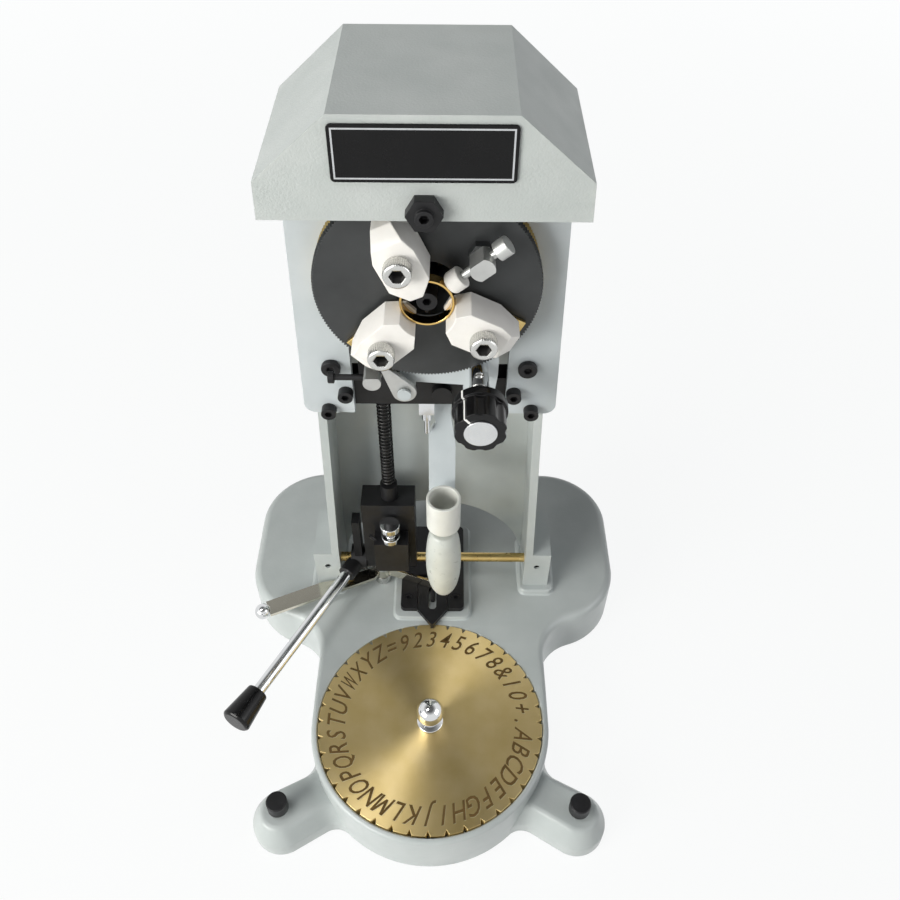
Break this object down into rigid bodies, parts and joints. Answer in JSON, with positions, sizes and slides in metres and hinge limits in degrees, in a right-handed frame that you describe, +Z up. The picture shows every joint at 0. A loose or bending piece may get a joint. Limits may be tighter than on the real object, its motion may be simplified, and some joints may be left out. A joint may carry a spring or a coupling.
{
  "type": "ring engraving machine",
  "caption": "Bench machine that traces letters from a notched brass dial and cuts them, reduced, inside a finger ring held in a jawed chuck.",
  "frame": {"origin": "on the table plane under the letter dial's axis", "axes": "+Z up along the dial's axis, +Y to the back of the machine, +X to the user's right"},
  "size_m": [0.202, 0.223, 0.3187],
  "materials": {
    "base_enamel": "satin",
    "hood_enamel": "fine texture",
    "plate_enamel": "satin",
    "black_metal": "satin black",
    "bright_steel": "polished",
    "turned_steel": "turned",
    "spring_steel": "dark",
    "brass": "machined",
    "ring_gold": "polished",
    "white_nylon": "matte",
    "grip_plastic": "matte",
    "black_plastic": "gloss",
    "cap_aluminium": "turned",
    "name_black": "gloss"
  },
  "bodies": {
    "base": {"base_casting": "base_enamel", "dial_spindle": "turned_steel", "index_plate": "black_metal", "index_screws": "black_metal", "index_post": "turned_steel", "column_casting": "base_enamel", "cap_screws": "black_metal", "foot_set_screws": "black_metal", "pivot_rod": "brass", "guide_block": "black_metal", "head_plate": "plate_enamel", "button_screws": "black_metal", "cross_bar": "black_metal", "carrier_plate": "plate_enamel", "hood": "hood_enamel", "nameplate": "name_black", "lock_screw": "black_metal", "spindle_housing": "black_metal", "stylus_guide": "black_metal", "knob_sleeve": "bright_steel", "stop_post": "turned_steel", "lift_spring": "spring_steel"},
    "dial": {"dial": "brass", "dial_knob": "bright_steel"},
    "pointer": {"index_pointer": "black_metal"},
    "release_lever": {"index_lever": "turned_steel"},
    "hold_left": {"hold_down_left": "black_metal"},
    "hold_right": {"hold_down_right": "black_metal"},
    "depth_screw": {"depth_screw": "bright_steel"},
    "handle": {"handle_lever": "black_metal", "handle_rod": "bright_steel", "handle_grip": "black_plastic"},
    "lift": {"lift_rod": "black_metal"},
    "gear": {"ring_gear": "brass", "spindle_collar": "turned_steel"},
    "chuck": {"face_plate": "black_metal", "clamp_post": "turned_steel", "sample_ring": "ring_gold"},
    "jaw_top": {"jaw_top": "white_nylon", "slide_top": "brass"},
    "jaw_left": {"jaw_left": "white_nylon", "slide_left": "brass"},
    "jaw_right": {"jaw_right": "white_nylon", "slide_right": "brass"},
    "screw_top": {"jaw_screw_top": "turned_steel"},
    "screw_left": {"jaw_screw_left": "turned_steel"},
    "screw_right": {"jaw_screw_right": "turned_steel"},
    "clamp": {"clamp_screw": "turned_steel", "clamp_tip": "white_nylon"},
    "stylus": {"stylus_holder": "black_metal"},
    "knob": {"size_knob": "black_plastic", "knob_shaft": "turned_steel", "knob_cap": "cap_aluminium"},
    "pawl": {"pawl_lever": "turned_steel"},
    "stop_screw": {"stop_screw": "black_metal"},
    "swing": {"swing_block": "black_metal"},
    "arm": {"tracer_arm": "plate_enamel", "tracer_cup": "grip_plastic", "tracer_stud": "turned_steel"},
    "bulb": {"tracer_bulb": "grip_plastic"}
  },
  "joints": [
    {"name": "dial_turn", "type": "hinge", "parent": "base", "child": "dial", "pos_m": [0, 0, 0.027], "axis": [0, 0, 1], "continuous": true},
    {"name": "release_swing", "type": "hinge", "parent": "base", "child": "release_lever", "pos_m": [-0.0275, 0.0854, 0.0378], "axis": [0, 0, 1], "range_deg": [0, 6], "stiffness_Nm_per_rad": 0.06, "springref_deg": -11.46},
    {"name": "pointer_slide", "type": "slide", "parent": "base", "child": "pointer", "axis": [0, 1, 0], "range_m": [0, 0.003]},
    {"name": "hold_left_turn", "type": "hinge", "parent": "base", "child": "hold_left", "pos_m": [-0.07046, -0.03954, 0.015], "axis": [0, 0, 1], "range_deg": [-180, 180]},
    {"name": "hold_right_turn", "type": "hinge", "parent": "base", "child": "hold_right", "pos_m": [0.07046, -0.03954, 0.015], "axis": [0, 0, 1], "range_deg": [-180, 180]},
    {"name": "depth_turn", "type": "hinge", "parent": "base", "child": "depth_screw", "pos_m": [-0.0206, 0.0719, 0.075], "axis": [0, 0, 1], "range_deg": [-180, 180]},
    {"name": "handle_press", "type": "hinge", "parent": "base", "child": "handle", "pos_m": [-0.0394, 0.0855, 0.0495], "axis": [1, 0, 0], "range_deg": [0, 8], "stiffness_Nm_per_rad": 0.2, "springref_deg": -17.19},
    {"name": "lift_slide", "type": "slide", "parent": "base", "child": "lift", "axis": [0, 0, 1], "range_m": [0, 0.004], "deforming": ["lift_spring"]},
    {"name": "gear_turn", "type": "hinge", "parent": "base", "child": "gear", "pos_m": [0, 0.075, 0.244], "axis": [0, 1, 0], "range_deg": [-15, 15]},
    {"name": "chuck_turn", "type": "hinge", "parent": "gear", "child": "chuck", "pos_m": [0, 0.07, 0.244], "axis": [0, 1, 0], "continuous": true},
    {"name": "tracer_swing", "type": "hinge", "parent": "base", "child": "swing", "pos_m": [0.0052, 0.084, 0.179], "axis": [0, 1, 0], "range_deg": [-5, 5]},
    {"name": "tracer_tilt", "type": "hinge", "parent": "swing", "child": "arm", "pos_m": [0.0052, 0.096, 0.179], "axis": [1, 0, 0], "range_deg": [-8, 0]},
    {"name": "tracer_press", "type": "slide", "parent": "arm", "child": "bulb", "axis": [0, 0, 1], "range_m": [-0.007, 0], "stiffness_N_per_m": 100, "springref_m": 0.006},
    {"name": "stylus_feed", "type": "slide", "parent": "base", "child": "stylus", "axis": [0, 1, 0], "range_m": [-0.0038, 0]},
    {"name": "knob_turn", "type": "hinge", "parent": "base", "child": "knob", "pos_m": [0.0202, 0.05, 0.2005], "axis": [0, 1, 0], "range_deg": [0, 270]},
    {"name": "pawl_swing", "type": "hinge", "parent": "base", "child": "pawl", "pos_m": [-0.0101, 0.066, 0.1909], "axis": [0, 1, 0], "range_deg": [-8, 0], "stiffness_Nm_per_rad": 0.005, "springref_deg": 17.19},
    {"name": "stop_turn", "type": "hinge", "parent": "base", "child": "stop_screw", "pos_m": [-0.03, 0.0675, 0.197], "axis": [1, 0, 0], "range_deg": [-180, 180]},
    {"name": "jaw_top_slide", "type": "slide", "parent": "chuck", "child": "jaw_top", "axis": [-0.4067, 0, 0.9135], "range_m": [0, 0.004]},
    {"name": "screw_top_turn", "type": "hinge", "parent": "jaw_top", "child": "screw_top", "pos_m": [-0.00936, 0.055, 0.26501], "axis": [0, 1, 0], "range_deg": [0, 180]},
    {"name": "jaw_left_slide", "type": "slide", "parent": "chuck", "child": "jaw_left", "axis": [-0.7193, 0, -0.6947], "range_m": [0, 0.004]},
    {"name": "screw_left_turn", "type": "hinge", "parent": "jaw_left", "child": "screw_left", "pos_m": [-0.01655, 0.055, 0.22802], "axis": [0, 1, 0], "range_deg": [0, 180]},
    {"name": "jaw_right_slide", "type": "slide", "parent": "chuck", "child": "jaw_right", "axis": [0.891, 0, -0.454], "range_m": [0, 0.004]},
    {"name": "screw_right_turn", "type": "hinge", "parent": "jaw_right", "child": "screw_right", "pos_m": [0.02049, 0.055, 0.23356], "axis": [0, 1, 0], "range_deg": [0, 180]},
    {"name": "clamp_slide", "type": "slide", "parent": "chuck", "child": "clamp", "axis": [0.766, 0, 0.6428], "range_m": [0, 0.0035]}
  ],
  "couplings": [
    {"joint": "pointer_slide", "follows": "release_swing", "m_per_rad": 0.0285},
    {"joint": "lift_slide", "follows": "handle_press", "m_per_rad": 0.02864},
    {"joint": "tracer_swing", "follows": "gear_turn", "ratio": 0.33333},
    {"joint": "stylus_feed", "follows": "tracer_tilt", "m_per_rad": 0.0272}
  ]
}
